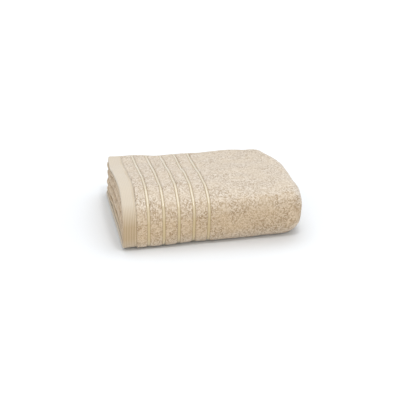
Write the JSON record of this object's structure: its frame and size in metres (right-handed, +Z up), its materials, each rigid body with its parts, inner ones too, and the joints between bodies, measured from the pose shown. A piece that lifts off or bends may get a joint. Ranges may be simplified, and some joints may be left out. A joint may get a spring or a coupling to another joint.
{
  "type": "folded bath towel",
  "caption": "Cotton terry bath towel with flat end hems and sateen border ribs, folded into a thick block with a rounded front fold.",
  "frame": {"origin": "on the floor below the middle of the folded towel's bounding box", "axes": "+X towards the closed right-hand folds (the hems are at -X), -Y towards the rounded front fold, +Z up"},
  "size_m": [0.3708, 0.3224, 0.1159],
  "materials": {
    "cotton_terry": "looped cotton pile, matt, champagne beige",
    "cotton_sateen": "flat sateen weave with a soft golden shine",
    "cotton_plain_weave": "close flat weave, matt, slightly paler than the pile",
    "sewing_thread": "twisted sewing thread, slightly shiny"
  },
  "bodies": {
    "root": {"end_hem_a": "cotton_plain_weave", "terry_band_1_a": "cotton_terry", "sateen_rib_1_a": "cotton_sateen", "terry_band_2_a": "cotton_terry", "sateen_rib_2_a": "cotton_sateen", "terry_band_3_a": "cotton_terry", "sateen_rib_3_a": "cotton_sateen", "terry_band_4_a": "cotton_terry", "sateen_rib_4_a": "cotton_sateen", "terry_band_5_a": "cotton_terry", "sateen_rib_5_a": "cotton_sateen", "end_hem_b": "cotton_plain_weave", "terry_band_1_b": "cotton_terry", "sateen_rib_1_b": "cotton_sateen", "terry_band_2_b": "cotton_terry", "sateen_rib_2_b": "cotton_sateen", "terry_band_3_b": "cotton_terry", "sateen_rib_3_b": "cotton_sateen", "terry_band_4_b": "cotton_terry", "sateen_rib_4_b": "cotton_sateen", "terry_band_5_b": "cotton_terry", "sateen_rib_5_b": "cotton_sateen", "terry_field": "cotton_terry", "side_hem_top": "cotton_plain_weave", "side_hem_bottom": "cotton_plain_weave", "end_hem_thread_a": "sewing_thread", "end_hem_thread_b": "sewing_thread", "side_hem_thread_top": "sewing_thread", "side_hem_thread_bottom": "sewing_thread"}
  },
  "joints": []
}
